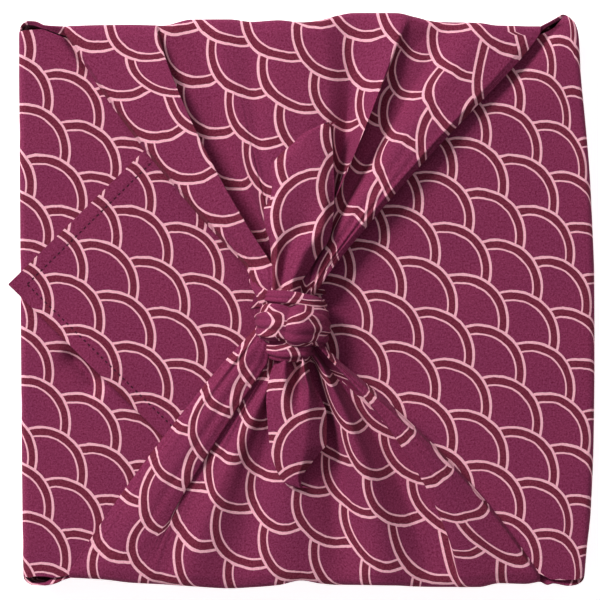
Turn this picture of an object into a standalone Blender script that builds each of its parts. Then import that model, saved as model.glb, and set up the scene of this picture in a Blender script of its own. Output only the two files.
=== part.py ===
"""Furoshiki wrap: one square cloth wrapped round a flat square parcel and tied in a square knot.

The cloth lies cornerwise under the parcel. Its left corner is folded over the top first and its
right corner over that, so that the tip of the right flap pokes out past the left edge. The far and
near corners then come up over their walls as two strips, draw together in pleats, and are tied at
the middle in a square knot with two short tails. The parcel itself is not here, so the wrap is
hollow, and it opens to the air at the two left-hand ears.

Metres, +Z up, +X to the right and +Y away from the reader. The wrap stands on Z = 0, and the
origin is the middle of its footprint, tip of the flap included.
Every table below is in millimetres, and MM turns it into metres.
"""

import math

import bmesh
import bpy
import numpy as np

MM = 0.001

# Driving sizes
SHEET = 1.5  # the cloth, at a thickness that a solid can have
LEFT_X = -151.0  # the left wall, which is nearly straight
RIGHT_X = 153.2  # the right wall at its fullest point
RIGHT_FULL_Y = -30.0
RIGHT_CURVE = 3.3e-4  # how fast the right wall falls back on either side, per millimetre
TOP_Z = 40.0  # the upper face of the left flap
EDGE_ROUND = 4.5  # the soft edges all round
CORNER_ROUND = 7.0
FLAP_GAP = 0.6  # between the left flap and the right flap over it
STRIP_GAP = 0.6  # between the right flap and the lowest layer of a strip
KNOT_X = -5.0  # the strips narrow towards this line inside the knot

FLAP_Z = TOP_Z + FLAP_GAP + SHEET / 2  # mid-surface of the right flap
STRIP_Z = TOP_Z + FLAP_GAP + SHEET + STRIP_GAP + SHEET / 2  # lowest mid-surface of a strip

# How far the far and near walls stand out: x along the wall, y of the outer face of the body.
WALL_COLUMNS = ("x", "far_y", "near_y")
WALLS = (
    (-151.0, 146.4, -147.6),
    (-140.0, 148.2, -148.8),
    (-128.0, 146.2, -148.4),
    (-110.0, 146.2, -146.1),
    (-80.0, 146.4, -146.6),
    (-52.0, 149.2, -148.8),
    (-25.0, 148.6, -149.4),
    (0.0, 148.0, -146.4),
    (22.0, 152.4, -147.6),
    (46.0, 152.2, -148.0),
    (70.0, 148.2, -148.8),
    (96.0, 147.2, -148.6),
    (124.0, 146.2, -146.8),
    (150.0, 147.6, -145.6),
)

# The folds of each strip, from its left edge to its right. x_edge is on the top edge of the
# wall, x_mid half way to the knot and x_knot where the knot takes the strip; the lifts are heights
# over the lowest layer at those three places.
FOLD_COLUMNS = ("fold", "x_edge", "x_mid", "x_knot", "lift_edge", "lift_mid", "lift_knot")
FAR_FOLDS = (
    ("left roll", -126, -79, -26, 0.1, 0.1, 1.5),
    ("left fold", -127.5, -80.5, -27.5, 1.9, 1.9, 4.0),
    ("left shoulder", -124, -77, -25, 3.8, 3.8, 7.0),
    ("left panel", -98, -62, -22, 3.2, 5.5, 10.0),
    ("left pleat", -78, -50, -18, 3.4, 8.0, 12.5),
    ("left pleat under", -71, -48.5, -17, 3.0, 4.5, 8.5),
    ("left valley", -63, -43, -15, 2.8, 2.2, 6.0),
    ("middle rise", -50, -30, -11, 4.2, 6.5, 10.0),
    ("middle ridge", -12, -10, -6, 5.2, 9.5, 14.0),
    ("middle fall", 9, 6, -1, 4.4, 8.0, 12.0),
    ("inner valley", 20, 13.5, 2, 2.8, 4.5, 9.0),
    ("inner ridge", 36, 18, 4.5, 5.0, 7.0, 11.0),
    ("outer valley", 60, 22.5, 7, 3.0, 2.6, 6.0),
    ("right panel", 92, 42, 11, 4.6, 7.5, 9.0),
    ("right shoulder", 132, 58, 14, 3.8, 4.0, 6.0),
    ("right fold", 135.5, 61.5, 16.5, 1.9, 1.9, 4.0),
    ("right roll", 134, 60, 15, 0.1, 0.1, 1.5),
)
NEAR_FOLDS = (
    ("left roll", -122, -75, -41.5, 0.1, 0.1, 1.5),
    ("left fold", -123.5, -76.5, -43, 1.9, 1.9, 4.0),
    ("left shoulder", -120, -73, -40, 3.8, 3.8, 6.0),
    ("left panel", -95, -58, -30, 3.4, 6.5, 10.0),
    ("left valley", -66, -43, -19, 3.2, 3.0, 5.0),
    ("left ridge", -46, -32.5, -13, 5.0, 7.5, 9.0),
    ("inner valley", -25, -21.5, -9, 3.8, 2.6, 6.0),
    ("middle ridge", 1, -2, -1, 3.0, 7.0, 11.0),
    ("tail valley", 23, 17, 6, 4.2, 2.6, 5.0),
    ("inner pleat", 47, 32, 12, 4.6, 8.0, 11.0),
    ("deep valley", 82, 46, 16, 3.8, 2.4, 4.0),
    ("outer pleat", 98, 54, 19, 4.6, 7.5, 9.0),
    ("right shoulder", 121, 62, 22, 3.8, 4.0, 6.0),
    ("right fold", 124.5, 65.5, 25, 1.9, 1.9, 4.0),
    ("right roll", 123, 64, 23.5, 0.1, 0.1, 1.5),
)
FAR_Y = {"mid": 74.0, "knot": 20.0, "end": 6.0}
NEAR_Y = {"mid": -72.0, "knot": -31.0, "end": -17.0}
# A strip's way over the top edge: out from the wall's face, z, share of the folds' lift, and how far
# its side edges have rolled under.
EDGE_PATH = (
    (-3.8, 36.0, 0.0, 0.0),
    (-0.6, 39.0, 0.0, 0.0),
    (-1.2, 41.4, 0.35, 0.1),
    (-4.5, 43.2, 0.85, 0.7),
    (-11.0, 43.6, 1.0, 1.0),
)
ROLL = 2.4
STRIP_ROWS = (0.14, 0.3, 0.46, 0.62, 0.78, 0.9, 1.0)  # rows of a strip from the edge to the knot
KNOT_END_X = 0.45  # how much of its width at the knot a strip keeps inside it
KNOT_END_Z = 0.4  # and how much of its folds' height
STRIP_RISE = 6.0  # how far a strip climbs from where the knot takes it to its end inside the knot

# The right flap: its tip past the left wall, and where its hems pass under the strips.
FLAP_TIP = (-157.5, 10.0)
FLAP_HEM_SLOPE = 1.02
FLAP_LIFT = 2.2  # the near hem stands up a little, most at FLAP_LIFT_X
FLAP_LIFT_X, FLAP_LIFT_LENGTH = -95.0, 45.0
FLAP_DROP = 2.4  # the tip hangs down past the edge
FLAP_INSET = 2.2  # where the flap passes under a strip it stops this far inside the wall
FLAP_START = 3.5  # it starts this far inside the right wall
# Stations across the flap, as shares of its half width, with how far its outer ones bend down.
FLAP_ACROSS = (0.0, 0.1, 0.3, 0.55, 0.8, 0.955, 0.985, 1.0)
FLAP_HEM_DROP = {0.955: 0.2, 0.985: 1.1, 1.0: 2.8}
# Stations along it from its tip to the right wall, the last few bent down into the wall.
FLAP_ALONG = (0.0, 0.02, 0.05, 0.1, 0.18, 0.27, 0.36, 0.45, 0.53, 0.62, 0.74, 0.86, 0.95, 0.975,
              0.99, 1.0)
FLAP_EDGE_DROP = {0.975: 1.0, 0.99: 2.2, 1.0: 3.6}
FLAP_STRAIGHT = 0.94  # up to this share of its length its stations are straight lines

# Sections of the tails from the knot outwards: y, the two edges, the crest between them and heights
# over the table.
TAIL_COLUMNS = ("y", "x_left", "x_crest", "x_right", "z_left", "z_crest", "z_right")
FAR_TAIL = (
    (8.0, -17.0, -4.0, 8.0, 58.0, 61.0, 57.0),
    (20.0, -22.0, -6.0, 11.5, 58.0, 63.0, 56.0),
    (34.0, -19.0, -3.0, 13.5, 58.0, 63.5, 55.0),
    (50.0, -20.0, -2.0, 14.5, 57.0, 61.5, 55.0),
    (65.0, -18.0, 0.0, 15.0, 56.0, 59.0, 54.0),
    (78.0, -13.5, 3.0, 15.0, 54.5, 57.0, 53.5),
    (88.0, -5.0, 7.0, 14.4, 53.5, 55.0, 52.5),
    (95.0, 7.0, 10.0, 13.2, 52.5, 53.0, 52.2),
)
NEAR_TAIL = (
    (-20.0, -13.0, -6.0, 1.0, 56.0, 59.0, 56.0),
    (-30.0, -15.5, -7.0, 1.2, 55.0, 60.0, 55.0),
    (-42.0, -18.0, -6.0, 4.0, 54.0, 60.5, 54.0),
    (-54.0, -19.0, -4.0, 9.5, 53.5, 59.5, 53.0),
    (-66.0, -19.0, -3.0, 11.0, 53.0, 58.0, 52.5),
    (-76.0, -17.5, -2.5, 9.5, 52.5, 56.0, 52.0),
    (-88.0, -13.5, -3.0, 1.5, 52.0, 53.5, 51.5),
    (-95.0, -7.0, -3.6, -1.0, 51.8, 52.2, 51.6),
)
TAIL_HEM = 6.0  # how far each edge of a tail is turned under
TAIL_PUFF = 0.6  # how far each half of it swells over a straight slope
# Round the turned edge: how far in from it and how high over it.
HEM_SECTION = ((1.2, 0.0), (0.0, -1.4), (0.8, -3.0))
HEM_DEPTH = 3.4

# The knot's three bights. Each is a row of stations: x, y, z, half width, half height.
BIGHT_COLUMNS = ("x", "y", "z", "half_width", "half_height")
FRONT_BIGHT = (
    (-24.0, -4.0, 51.0, 6.0, 4.0),
    (-22.0, -5.0, 57.5, 9.0, 5.5),
    (-12.0, -6.5, 64.0, 10.5, 6.0),
    (0.0, -10.5, 64.0, 10.5, 6.0),
    (8.5, -16.0, 58.5, 9.0, 5.5),
    (10.5, -18.0, 51.0, 6.0, 4.0),
)
BACK_BIGHT = (
    (-22.0, 16.0, 51.0, 4.0, 4.0),
    (-20.0, 13.5, 57.0, 7.0, 5.0),
    (-8.0, 8.5, 61.0, 8.0, 5.5),
    (5.0, 4.5, 60.0, 8.0, 5.5),
    (11.0, 1.0, 54.0, 6.5, 5.0),
    (12.0, -1.0, 49.0, 4.0, 4.0),
)
THROAT = (
    (-4.0, 18.0, 52.0, 9.0, 5.0),
    (-4.5, 6.0, 54.5, 11.0, 7.0),
    (-5.5, -8.0, 55.0, 11.0, 7.5),
    (-6.5, -22.0, 54.5, 9.5, 6.5),
    (-6.8, -32.0, 53.0, 7.0, 5.0),
)

# Where the wrap opens at its ears: x and y of the middle, half length and half width of the gap.
MOUTH_COLUMNS = ("name", "x", "y", "half_length", "half_width")
MOUTH_DEPTH = 9.0  # how far the cutter reaches below and above the top
MOUTHS = (
    ("near left ear", -139.5, -143.2, 8.0, 4.2),
    ("far left ear", -143.0, 143.6, 4.4, 2.7),
)


def column(table, names, name):
    """One named column of a table as an array."""
    at = names.index(name)
    return np.array([row[at] for row in table], float)


def smooth(xs, ys, x):
    """A curve through the points, with a slope at each that follows its neighbours."""
    xs, ys = np.asarray(xs, float), np.asarray(ys, float)
    slopes = np.gradient(ys, xs)
    i = np.clip(np.searchsorted(xs, x) - 1, 0, len(xs) - 2)
    width = xs[i + 1] - xs[i]
    t = np.clip((x - xs[i]) / width, 0, 1)
    rise = ys[i] * (1 + 2 * t) * (1 - t) ** 2 + ys[i + 1] * t * t * (3 - 2 * t)
    return rise + width * (slopes[i] * t * (1 - t) ** 2 - slopes[i + 1] * t * t * (1 - t))


def right_x(y):
    """The outer face of the right wall, a shallow arc in plan."""
    return RIGHT_X - RIGHT_CURVE * (y - RIGHT_FULL_Y) ** 2


def wall_y(side, x):
    """The outer face of the far or near wall at x."""
    return smooth(column(WALLS, WALL_COLUMNS, "x"), column(WALLS, WALL_COLUMNS, side), x)


def new_material(name, colour, roughness):
    material = bpy.data.materials.new(name)
    material.use_nodes = True
    shader = material.node_tree.nodes["Principled BSDF"]
    shader.inputs["Base Color"].default_value = (*colour, 1.0)
    shader.inputs["Roughness"].default_value = roughness
    shader.inputs["Metallic"].default_value = 0.0
    material.diffuse_color = (*colour, 1.0)
    return material


def mesh_object(name, points, faces, collection):
    """A mesh object from points in millimetres, with its faces turned the same way."""
    mesh = bpy.data.meshes.new(name)
    mesh.from_pydata([tuple(point) for point in np.asarray(points) * MM], [], faces)
    built = bmesh.new()
    built.from_mesh(mesh)
    bmesh.ops.recalc_face_normals(built, faces=built.faces)
    built.to_mesh(mesh)
    built.free()
    thing = bpy.data.objects.new(name, mesh)
    collection.objects.link(thing)
    return thing


def grid_faces(rows, columns, closed=False):
    """Quads between neighbouring rows of a grid, which may close on itself across."""
    across = columns if closed else columns - 1
    return [
        (r * columns + c, r * columns + (c + 1) % columns,
         (r + 1) * columns + (c + 1) % columns, (r + 1) * columns + c)
        for r in range(rows - 1) for c in range(across)
    ]


def sheet_object(name, grid, collection):
    """Cloth: an open grid of mid-surface points with Solidify."""
    rows, columns, _ = grid.shape
    thing = mesh_object(name, grid.reshape(-1, 3), grid_faces(rows, columns), collection)
    solid = thing.modifiers.new("Cloth", "SOLIDIFY")
    solid.thickness = SHEET * MM
    solid.offset = 0.0
    return thing


def ring_object(name, rings, collection):
    """A closed solid from rings of equal length, with a fan on its first and last ring."""
    rings = np.asarray(rings)
    count, around, _ = rings.shape
    faces = grid_faces(count, around, closed=True)
    faces += [tuple(range(around)), tuple((count - 1) * around + k for k in range(around))]
    return mesh_object(name, rings.reshape(-1, 3), faces, collection)


def body_outline(inset, stations=9, corner_steps=3):
    """The wrap's outline seen from above, drawn in by inset: four soft sides and round corners."""
    radius = max(CORNER_ROUND - inset, 1.0)
    left = LEFT_X + inset
    xs = np.linspace(left + radius, 0.0, stations)
    xs = np.concatenate([xs, np.linspace(0.0, right_x(146.0) - inset - radius, stations)[1:]])
    far = [(x, float(wall_y("far_y", x)) - inset) for x in xs]
    xs = np.linspace(right_x(-146.0) - inset - radius, 0.0, stations)
    xs = np.concatenate([xs, np.linspace(0.0, left + radius, stations)[1:]])
    near = [(x, float(wall_y("near_y", x)) + inset) for x in xs]
    ys = np.linspace(far[-1][1] - radius, near[0][1] + radius, stations)
    right = [(float(right_x(y)) - inset, y) for y in ys]
    ys = np.linspace(near[-1][1] + radius, far[0][1] - radius, 4)
    left_side = [(left, y) for y in ys]

    def corner(start, end, pivot):
        """Round a corner from start to end about the crossing of their sides."""
        turns = np.arange(1, corner_steps + 1) / (corner_steps + 1)
        return [
            tuple((1 - t) ** 2 * np.array(start) + 2 * t * (1 - t) * np.array(pivot)
                  + t * t * np.array(end))
            for t in turns
        ]

    loop = list(far)
    loop += corner(far[-1], right[0], (right[0][0], far[-1][1])) + right
    loop += corner(right[-1], near[0], (right[-1][0], near[0][1])) + near
    loop += corner(near[-1], left_side[0], (left, near[-1][1])) + left_side
    loop += corner(left_side[-1], far[0], (left, far[0][1]))
    return np.array(loop)


def soft_box(name, inset, collection):
    """The body's outer face, or its inner one with an inset: rings up the walls."""
    low, high = inset, TOP_Z - inset
    round_edge = max(EDGE_ROUND - inset, 2.0)
    turns = np.linspace(0, math.pi / 2, 4)
    profile = [(round_edge * (1 - math.sin(a)), low + round_edge * (1 - math.cos(a))) for a in turns]
    profile += [(round_edge * (1 - math.cos(a)), high - round_edge * (1 - math.sin(a)))
                for a in turns]
    rings = []
    for drawn_in, z in profile:
        outline = body_outline(inset + drawn_in)
        rings.append(np.column_stack([outline, np.full(len(outline), z)]))
    return ring_object(name, rings, collection)


def mouth_cutter(row, collection):
    """An upright elliptical plug through the top at one ear."""
    name, x, y, half_length, half_width = row
    turns = np.linspace(0, 2 * math.pi, 16, endpoint=False)
    rings = [
        [(x + half_length * math.cos(a), y + half_width * math.sin(a), z) for a in turns]
        for z in (TOP_Z - MOUTH_DEPTH, TOP_Z + MOUTH_DEPTH)
    ]
    return ring_object("mouth of the " + name, rings, collection)


def right_flap(collection):
    """The right flap: from the right edge across the top to its tip, its edges bent to the body."""
    tip_x, tip_y = FLAP_TIP
    across = [-t for t in FLAP_ACROSS[:0:-1]] + list(FLAP_ACROSS)
    grid = np.zeros((len(FLAP_ALONG), len(across), 3))
    for r, s in enumerate(FLAP_ALONG):
        x_mid = tip_x + 0.6 + s * (right_x(tip_y) - FLAP_START - tip_x)
        for c, t in enumerate(across):
            side = "far_y" if t > 0 else "near_y"
            hem = (x_mid - tip_x) / FLAP_HEM_SLOPE + 0.4
            edge = abs(float(wall_y(side, x_mid))) - FLAP_INSET - tip_y * np.sign(t)
            y = tip_y + t * min(hem, edge)
            x = x_mid
            if s >= FLAP_STRAIGHT:
                bent = (1 - s) / (1 - FLAP_STRAIGHT)
                x = min(x_mid, float(right_x(y)) - FLAP_START * bent - 1.0)
            drop = FLAP_EDGE_DROP.get(s, 0.0)
            if hem >= edge - 6.0:
                drop += FLAP_HEM_DROP.get(abs(t), 0.0)
            drop += FLAP_DROP * max(0.0, LEFT_X + 4 - x) / 8
            along_hem = (x - FLAP_LIFT_X) / FLAP_LIFT_LENGTH
            lift = FLAP_LIFT * math.exp(-along_hem ** 2) * max(0.0, -t) ** 3
            grid[r, c] = (x, y, FLAP_Z + lift - drop)
    return sheet_object("right flap", grid, collection)


def strip(name, folds, side, levels, collection):
    """A strip from inside the top edge of its wall, over it and in pleats to the knot."""
    sign = 1.0 if side == "far_y" else -1.0
    table = {key: column(folds, FOLD_COLUMNS, key) for key in FOLD_COLUMNS[1:]}
    count = len(folds)
    fine = np.arange(0, count - 1 + 1e-6, 0.5)
    key = np.arange(count, dtype=float)
    fold = {k: smooth(key, v, fine) for k, v in table.items()}
    rows = []
    for out, z, lift, rolled in EDGE_PATH:
        x = fold["x_edge"].copy()
        for rim, away in ((slice(0, 2), -1.0), (slice(-1, -3, -1), 1.0)):
            flat = x[2 if away < 0 else -3] + away * ROLL * np.array([1.0, 0.5])
            x[rim] = flat + rolled * (x[rim] - flat)
        wall = wall_y(side, x)
        rows.append(np.column_stack([x, wall + sign * out, z + lift * fold["lift_edge"]]))
    # across the top to the knot
    start = rows[-1]
    y_wall, y_mid, y_knot = abs(wall_y(side, 0.0)), abs(levels["mid"]), abs(levels["knot"])
    t_mid = (y_wall - y_mid) / (y_wall - y_knot)
    for t in STRIP_ROWS:
        y = start[:, 1] + (levels["knot"] - start[:, 1]) * t
        bow = np.where(t < t_mid, t / t_mid, 1 + (t - t_mid) / (1 - t_mid))
        x = np.where(bow < 1, start[:, 0] + (fold["x_mid"] - start[:, 0]) * bow,
                     fold["x_mid"] + (fold["x_knot"] - fold["x_mid"]) * (bow - 1))
        lift = np.where(bow < 1,
                        fold["lift_edge"] + (fold["lift_mid"] - fold["lift_edge"]) * bow,
                        fold["lift_mid"] + (fold["lift_knot"] - fold["lift_mid"]) * (bow - 1))
        rows.append(np.column_stack([x, y, STRIP_Z + lift]))
    last = rows[-1]
    rows.append(np.column_stack([
        KNOT_X + (last[:, 0] - KNOT_X) * KNOT_END_X,
        np.full(len(last), levels["end"]),
        STRIP_Z + STRIP_RISE + (last[:, 2] - STRIP_Z) * KNOT_END_Z,
    ]))
    return sheet_object(name, np.array(rows), collection)


def tail(name, sections, collection):
    """A tail: a leaf with a crest, its two edges turned under."""
    table = {key: column(sections, TAIL_COLUMNS, key) for key in TAIL_COLUMNS}
    at = np.arange(len(sections), dtype=float)
    fine = np.arange(0, len(sections) - 1 + 1e-6, 0.5)
    s = {key: smooth(at, value, fine) for key, value in table.items()}
    rows = []
    for k in range(len(fine)):
        left, crest, right = s["x_left"][k], s["x_crest"][k], s["x_right"][k]
        turn = min(TAIL_HEM, 0.4 * (right - left))
        z_left, z_crest, z_right = s["z_left"][k], s["z_crest"][k], s["z_right"][k]
        section = [(left + turn, z_left - HEM_DEPTH)]
        section += [(left + into, z_left + low) for into, low in HEM_SECTION[::-1]]
        section += [(0.5 * (left + crest), 0.5 * (z_left + z_crest) + TAIL_PUFF)]
        section += [(crest, z_crest)]
        section += [(0.5 * (right + crest), 0.5 * (z_right + z_crest) + TAIL_PUFF)]
        section += [(right - into, z_right + low) for into, low in HEM_SECTION]
        section += [(right - turn, z_right - HEM_DEPTH)]
        rows.append([(x, s["y"][k], z) for x, z in section])
    return sheet_object(name, np.array(rows), collection)


def bight(name, stations, collection, around=12):
    """One turn of the knot: flattened round sections along a curved path, closed at both ends."""
    table = {key: column(stations, BIGHT_COLUMNS, key) for key in BIGHT_COLUMNS}
    at = np.arange(len(stations), dtype=float)
    fine = np.arange(0, len(stations) - 1 + 1e-6, 0.5)
    s = {key: smooth(at, value, fine) for key, value in table.items()}
    path = np.column_stack([s["x"], s["y"], s["z"]])
    forward = np.gradient(path, axis=0)
    forward /= np.linalg.norm(forward, axis=1)[:, None]
    rings = []
    for point, ahead, wide, high in zip(path, forward, s["half_width"], s["half_height"]):
        side = np.array([-ahead[1], ahead[0], 0.0])
        side /= np.linalg.norm(side)
        up = np.cross(ahead, side)
        turns = np.linspace(0, 2 * math.pi, around, endpoint=False)
        rings.append([point + wide * math.cos(a) * side + high * math.sin(a) * up for a in turns])
    return ring_object(name, rings, collection)


def cut_away(target, cutter):
    step = target.modifiers.new("Without the " + cutter.name, "BOOLEAN")
    step.operation = "DIFFERENCE"
    step.object = cutter
    step.solver = "EXACT"


def join_all(target, pieces):
    """One union of the target with every piece of a collection. The layers cross at a slant in
    many places, where EXACT leaves edges that touch."""
    step = target.modifiers.new("Union of the layers", "BOOLEAN")
    step.operation = "UNION"
    step.operand_type = "COLLECTION"
    step.collection = pieces
    step.solver = "MANIFOLD"


def keep_largest_shell(thing):
    """Bake the joins and fill the bubbles sealed between fused layers, which no real cloth has."""
    graph = bpy.context.evaluated_depsgraph_get()
    baked = bpy.data.meshes.new_from_object(thing.evaluated_get(graph))
    built = bmesh.new()
    built.from_mesh(baked)
    waiting, shells = set(built.faces), []
    while waiting:
        shell, front = [], [waiting.pop()]
        while front:
            face = front.pop()
            shell.append(face)
            edges = [edge for edge in face.edges if len(edge.link_faces) == 2]
            near = {other for edge in edges for other in edge.link_faces} & waiting
            waiting -= near
            front.extend(near)
        shells.append(shell)
    for shell in sorted(shells, key=len)[:-1]:
        bmesh.ops.delete(built, geom=shell, context="FACES")
    built.to_mesh(baked)
    built.free()
    thing.modifiers.clear()
    thing.data = baked


def centre_footprint(thing):
    """Move the mesh so that the origin is the middle of its footprint."""
    points = np.array([vert.co[:] for vert in thing.data.vertices])
    middle = (points.min(axis=0) + points.max(axis=0)) / 2
    for vert in thing.data.vertices:
        vert.co.x -= middle[0]
        vert.co.y -= middle[1]


def helper_collection(name):
    collection = bpy.data.collections.new(name)
    bpy.context.scene.collection.children.link(collection)
    return collection


def main():
    for thing in list(bpy.data.objects):
        bpy.data.objects.remove(thing, do_unlink=True)
    wrap = helper_collection("furoshiki wrap")
    helpers = helper_collection("shapes cut out")
    pieces = helper_collection("layers joined on")

    cloth = soft_box("wrap_cloth", 0.0, wrap)
    cloth.data.materials.append(new_material("plum cotton", (0.22, 0.035, 0.11), 0.85))
    cuts = [soft_box("hollow", SHEET, helpers)]
    cuts += [mouth_cutter(row, helpers) for row in MOUTHS]
    layers = [
        right_flap(pieces),
        strip("far strip", FAR_FOLDS, "far_y", FAR_Y, pieces),
        strip("near strip", NEAR_FOLDS, "near_y", NEAR_Y, pieces),
        bight("throat", THROAT, pieces),
        bight("back bight", BACK_BIGHT, pieces),
        bight("front bight", FRONT_BIGHT, pieces),
        tail("far tail", FAR_TAIL, pieces),
        tail("near tail", NEAR_TAIL, pieces),
    ]
    for cutter in cuts:
        cut_away(cloth, cutter)
    join_all(cloth, pieces)
    keep_largest_shell(cloth)
    centre_footprint(cloth)
    for helper in cuts + layers:
        helper.hide_render = True
        helper.display_type = "WIRE"


main()
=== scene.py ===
# %% [markdown]
# # A furoshiki wrap
#
# A furoshiki is one square of cotton. Here it is wrapped round a flat square parcel and tied on
# top in a square knot. The cloth lies cornerwise, so each of its four corners comes over one wall.
# Left and right fold over first, as flaps; far and near follow as strips, which gather in pleats.
# Every panel below is a function of two parameters on a grid, and all of them are joined into one
# sheet in the end, because the real thing is one cloth.

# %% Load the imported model
import math

import bpy
import numpy as np
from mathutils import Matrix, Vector


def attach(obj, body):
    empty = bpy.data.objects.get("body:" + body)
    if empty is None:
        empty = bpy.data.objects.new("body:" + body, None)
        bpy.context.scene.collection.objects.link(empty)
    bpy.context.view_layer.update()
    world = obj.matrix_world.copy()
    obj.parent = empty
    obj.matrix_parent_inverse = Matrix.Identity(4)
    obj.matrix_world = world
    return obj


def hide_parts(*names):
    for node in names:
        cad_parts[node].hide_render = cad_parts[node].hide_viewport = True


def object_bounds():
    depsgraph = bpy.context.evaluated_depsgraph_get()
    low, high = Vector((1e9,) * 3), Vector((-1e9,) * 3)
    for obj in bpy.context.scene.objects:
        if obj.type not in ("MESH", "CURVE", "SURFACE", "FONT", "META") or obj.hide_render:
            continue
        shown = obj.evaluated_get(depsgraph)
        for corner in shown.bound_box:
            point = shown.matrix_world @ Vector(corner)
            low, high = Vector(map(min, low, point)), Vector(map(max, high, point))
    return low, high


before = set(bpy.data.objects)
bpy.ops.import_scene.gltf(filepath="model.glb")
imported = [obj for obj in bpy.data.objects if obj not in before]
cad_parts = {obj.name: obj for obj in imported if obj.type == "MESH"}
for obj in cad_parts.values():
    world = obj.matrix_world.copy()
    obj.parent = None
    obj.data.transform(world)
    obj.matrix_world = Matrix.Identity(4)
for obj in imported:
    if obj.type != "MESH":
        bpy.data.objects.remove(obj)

cad_low, cad_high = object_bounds()
print("solid's box", [round(v, 4) for v in (*cad_low, *cad_high)])

# %% [markdown]
# ## Sizes
# All tables are in millimetres in the plan of the wrap: x to the right, y away from the reader.
# Their zero is a point near the knot; the solid's own zero is the middle of its footprint, so the
# whole wrap is moved by `PLAN_SHIFT` when its mesh is made.

# %% Driving sizes
MM = 0.001
TOP_Z = 40
HALF_BOTTOM = 149
SOLID_RIGHT_X, SOLID_OFF_Y = 153.2, -1.65
EDGE_ROUND = 3.4
FOOT_IN = 1.6
PLAN_SHIFT = (cad_high.x / MM - SOLID_RIGHT_X, SOLID_OFF_Y)
print("plan shift, mm", PLAN_SHIFT)

# %% Bulging walls
# How far each wall bulges out, seen from above.
WALL_COLUMNS = ("x", "far_y", "near_y")
WALLS = (
    (-151, 146.9, -145), (-128, 147.3, -145.2), (-108, 147.9, -146), (-92, 148, -147.8),
    (-76, 147.6, -148.6), (-60, 150.9, -149.6), (-40, 150.9, -150.8), (-28, 149.6, -150.2),
    (-14, 150.4, -149), (-2, 149.3, -146.5), (8, 150.4, -148.2), (18, 153.2, -149),
    (26, 154.4, -149), (48, 154.2, -149.2), (58, 152.2, -149.8), (70, 149.7, -150.1),
    (92, 149, -150), (103, 147.6, -148), (117, 147.5, -148.4), (124, 147.3, -147.4),
    (150, 147.6, -147),
)
SIDE_COLUMNS = ("y", "left_x", "right_x")
SIDES = (
    (-150, -149.3, 147.8), (-130, -149.8, 149.5), (-110, -150, 151.6), (-69, -150.4, 153.2),
    (-30, -150.7, 153.6), (12, -151, 153.5), (41, -151.2, 152.5), (70, -151.4, 151),
    (100, -151.6, 148.4), (121, -151.8, 146.4), (141, -151.8, 145.3), (150, -151.4, 144),
)


# %% [markdown]
# ## Curves through a few points
# Folded cloth is smooth between the few places that matter, such as a ridge, a valley and an edge.
# A spline through them could swing past a point and make a fold that isn't there. These curves
# keep within their points, and most tables below are read through them.

# %% Curves through tables, and small helpers
def add_object(name, data):
    """Put an object with this data into the scene."""
    thing = bpy.data.objects.new(name, data)
    bpy.context.scene.collection.objects.link(thing)
    return thing


def column(table, names, name):
    """One named column of a table as an array."""
    at = names.index(name)
    return np.array([row[at] for row in table], float)


def through(xs, ys, x):
    """A curve through the points that never swings past them: between two points it is the cubic
    with the slopes at both, and a slope is 0 at a high or low point and else the harmonic mean of
    the rises on its two sides."""
    xs, ys, x = np.asarray(xs, float), np.asarray(ys, float), np.asarray(x, float)
    width = np.diff(xs)
    rise = np.diff(ys) / width
    before, after = rise[:-1], rise[1:]
    steady = before * after > 0
    slope = np.concatenate([rise[:1], np.zeros(len(xs) - 2), rise[-1:]])
    slope[1:-1][steady] = 2 * before[steady] * after[steady] / (before + after)[steady]
    i = np.clip(np.searchsorted(xs, x) - 1, 0, len(width) - 1)
    t = np.clip((x - xs[i]) / width[i], 0, 1)
    rise = ys[i] * (1 + 2 * t) * (1 - t) ** 2 + ys[i + 1] * t * t * (3 - 2 * t)
    return rise + width[i] * (slope[i] * t * (1 - t) ** 2 - slope[i + 1] * t * t * (1 - t))


def curves(table, names, s, at=None):
    """The named columns of a table as curves at s. Its rows stand one apart, or at the places."""
    at = range(len(table)) if at is None else at
    return {name: through(at, column(table, names, name), s) for name in names}


def ease(t):
    """0 to 1 with level ends: three t squared less two t cubed."""
    t = np.clip(t, 0, 1)
    return t * t * (3 - 2 * t)


def wall_y(side, x):
    """How far out the far or near wall stands at x."""
    return curves(WALLS, WALL_COLUMNS, x, column(WALLS, WALL_COLUMNS, "x"))[side]


def side_x(side, y):
    """How far out the left or right wall stands at y."""
    return curves(SIDES, SIDE_COLUMNS, y, column(SIDES, SIDE_COLUMNS, "y"))[side]


def lean_in(up):
    """How far inside its widest line a wall stands: FOOT_IN at the foot, nothing at the top."""
    return FOOT_IN * (1 - up) ** 1.5


def together(*parts):
    """Points from x, y and z, or from u and v, whose shapes may differ."""
    return np.stack(np.broadcast_arrays(*parts), axis=-1)


def unit(vectors):
    """The same directions, of length 1."""
    return vectors / np.maximum(np.linalg.norm(vectors, axis=-1, keepdims=True), 1e-9)


def lengths_along(points):
    """How far each row of points is from the first, along the rows between."""
    steps = np.linalg.norm(np.diff(points, axis=0), axis=-1)
    return np.concatenate([0 * steps[:1], np.cumsum(steps, axis=0)])


def bend_of_three(t, t_middle, start, middle, end):
    """The parabola that passes start at 0, middle at t_middle and end at 1."""
    a = (t - t_middle) * (t - 1) / t_middle
    b = t * (t - 1) / (t_middle * (t_middle - 1))
    c = t * (t - t_middle) / (1 - t_middle)
    return start * a + middle * b + end * c


# %% [markdown]
# ## One sheet from many panels
# A panel is a grid of points with the flat cloth's own coordinates beside them. The coordinates
# become the mesh's UV map, in metres of flat cloth, so the print and the weave follow every fold.

# %% Collect panels
panels = []


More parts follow.
